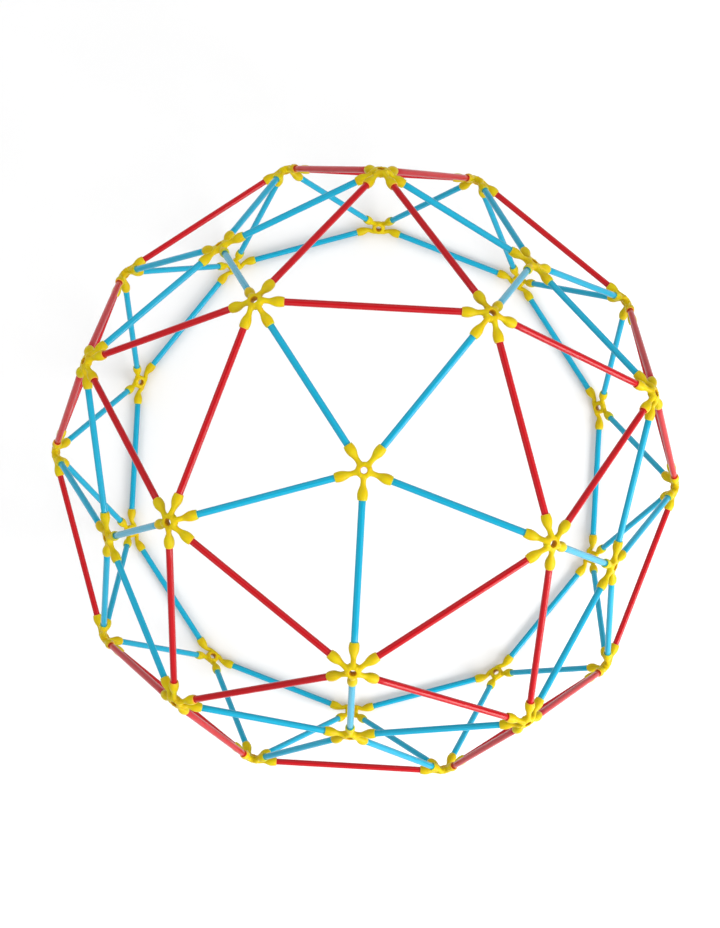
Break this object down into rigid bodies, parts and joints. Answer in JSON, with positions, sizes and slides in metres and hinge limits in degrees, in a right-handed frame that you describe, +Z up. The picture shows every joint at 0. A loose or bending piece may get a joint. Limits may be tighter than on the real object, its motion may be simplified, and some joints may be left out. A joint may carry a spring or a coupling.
{
  "type": "toy geodesic dome of sticks and connectors",
  "caption": "Open geodesic dome of slim lacquered wooden sticks plugged into soft star connectors, long red sticks and short blue ones, on an open ten-sided base ring.",
  "frame": {"origin": "on the floor, on the dome's vertical axis, at the bottom centre of the assembled dome", "axes": "+Z up along the dome's axis through the crown connector; -Y towards the front side cap connector; the dome is mirror-symmetric about X = 0"},
  "size_m": [0.5274, 0.506, 0.3437],
  "materials": {
    "yellow_silicone": "satin moulded silicone",
    "red_lacquered_wood": "gloss lacquer",
    "blue_lacquered_wood": "gloss lacquer"
  },
  "bodies": {
    "root": {"base_connector_1": "yellow_silicone", "base_connector_10": "yellow_silicone", "base_connector_2": "yellow_silicone", "base_connector_3": "yellow_silicone", "base_connector_4": "yellow_silicone", "base_connector_5": "yellow_silicone", "base_connector_6": "yellow_silicone", "base_connector_7": "yellow_silicone", "base_connector_8": "yellow_silicone", "base_connector_9": "yellow_silicone", "base_ring_sticks": "blue_lacquered_wood", "cap_to_equator_sticks": "blue_lacquered_wood", "cap_to_peak_sticks": "blue_lacquered_wood", "crown_cap_connector": "yellow_silicone", "crown_spoke_sticks": "blue_lacquered_wood", "equator_connector_1": "yellow_silicone", "equator_connector_10": "yellow_silicone", "equator_connector_2": "yellow_silicone", "equator_connector_3": "yellow_silicone", "equator_connector_4": "yellow_silicone", "equator_connector_5": "yellow_silicone", "equator_connector_6": "yellow_silicone", "equator_connector_7": "yellow_silicone", "equator_connector_8": "yellow_silicone", "equator_connector_9": "yellow_silicone", "equator_ring_sticks": "red_lacquered_wood", "equator_to_base_sticks": "blue_lacquered_wood", "peak_connector_1": "yellow_silicone", "peak_connector_2": "yellow_silicone", "peak_connector_3": "yellow_silicone", "peak_connector_4": "yellow_silicone", "peak_connector_5": "yellow_silicone", "peak_to_equator_sticks": "red_lacquered_wood", "shoulder_connector_1": "yellow_silicone", "shoulder_connector_2": "yellow_silicone", "shoulder_connector_3": "yellow_silicone", "shoulder_connector_4": "yellow_silicone", "shoulder_connector_5": "yellow_silicone", "shoulder_ring_sticks": "red_lacquered_wood", "shoulder_to_cap_sticks": "blue_lacquered_wood", "shoulder_to_peak_sticks": "red_lacquered_wood", "side_cap_connector_1": "yellow_silicone", "side_cap_connector_2": "yellow_silicone", "side_cap_connector_3": "yellow_silicone", "side_cap_connector_4": "yellow_silicone", "side_cap_connector_5": "yellow_silicone"}
  },
  "joints": []
}
